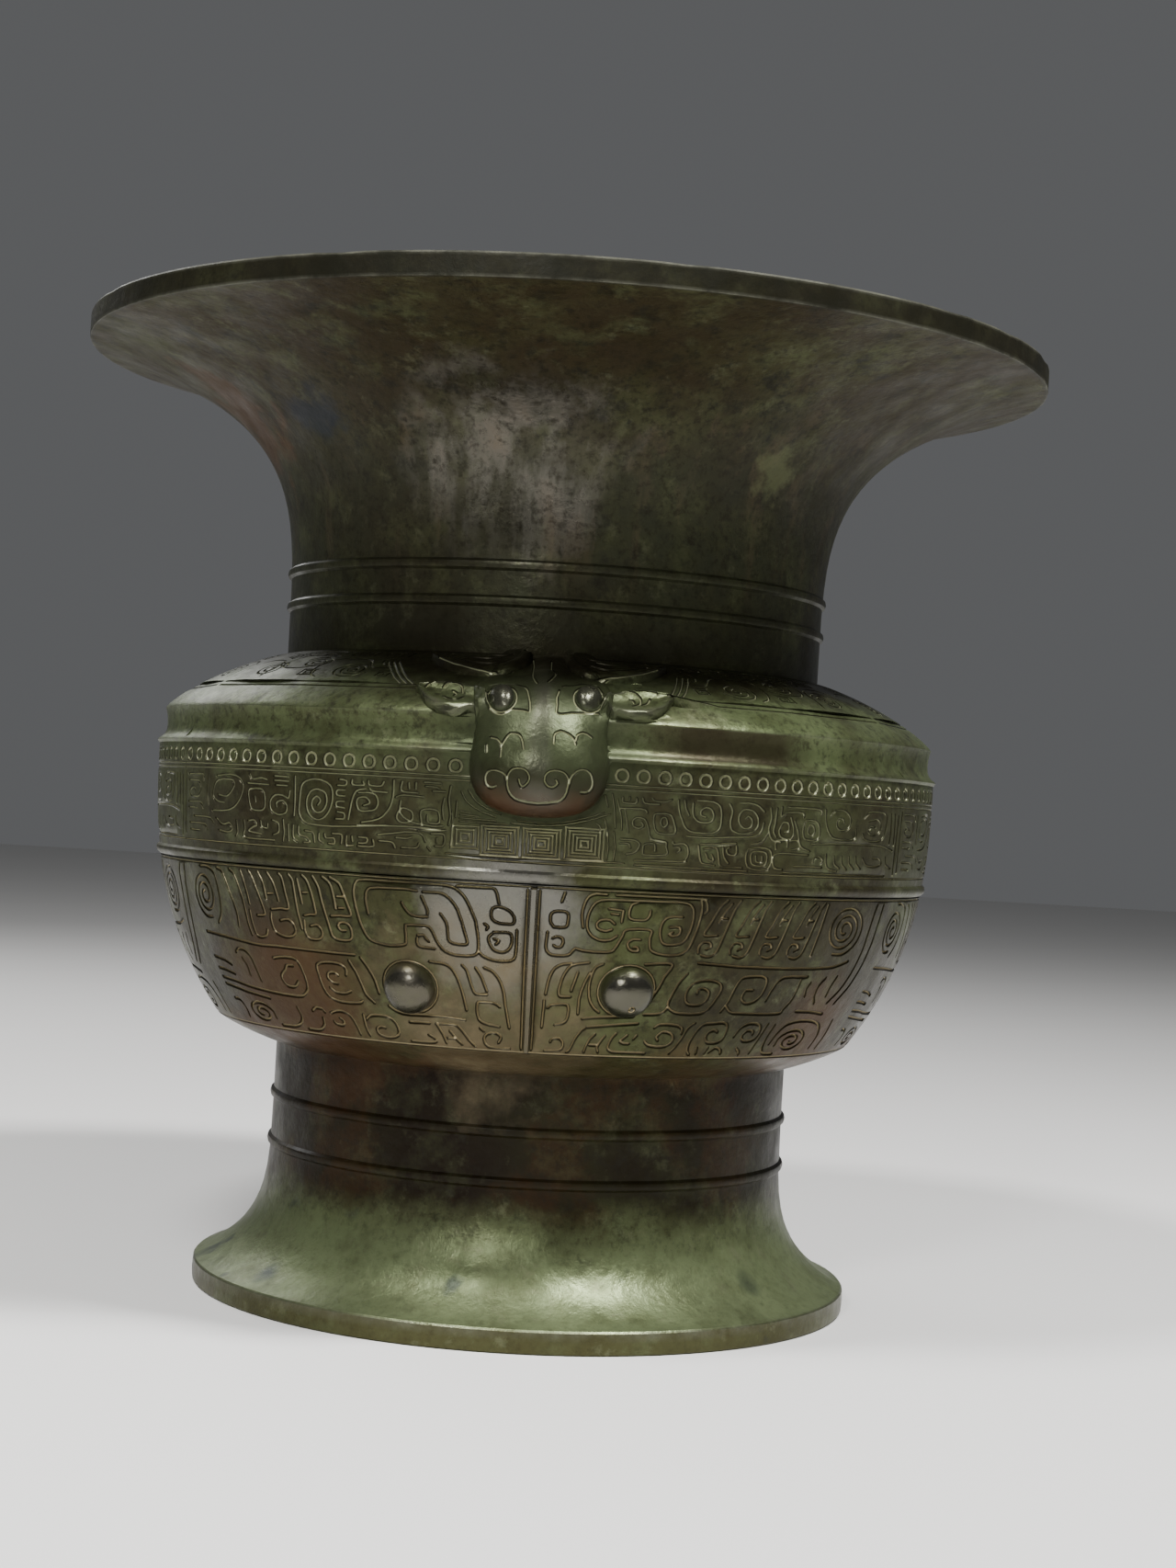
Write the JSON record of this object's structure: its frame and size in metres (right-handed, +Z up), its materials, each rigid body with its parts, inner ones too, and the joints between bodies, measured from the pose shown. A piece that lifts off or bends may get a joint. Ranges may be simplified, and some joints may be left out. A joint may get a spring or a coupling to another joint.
{
  "type": "ritual wine vessel",
  "caption": "Round bronze zun wine vessel: wide flat mouth, drum belly with engraved masks and boss eyes, beast heads on the shoulder and a flaring foot ring.",
  "frame": {"origin": "centre of the foot ring's underside, on the surface the vessel stands on", "axes": "+Z up along the vessel's axis, -Y out through the front beast head, +X to the viewer's right"},
  "size_m": [0.3768, 0.3768, 0.37],
  "materials": {
    "bronze": "cast bronze under a satin olive-green and brown patina, with pale dust in the engraved lines"
  },
  "bodies": {
    "root": {"zun_vessel": "bronze"}
  },
  "joints": []
}
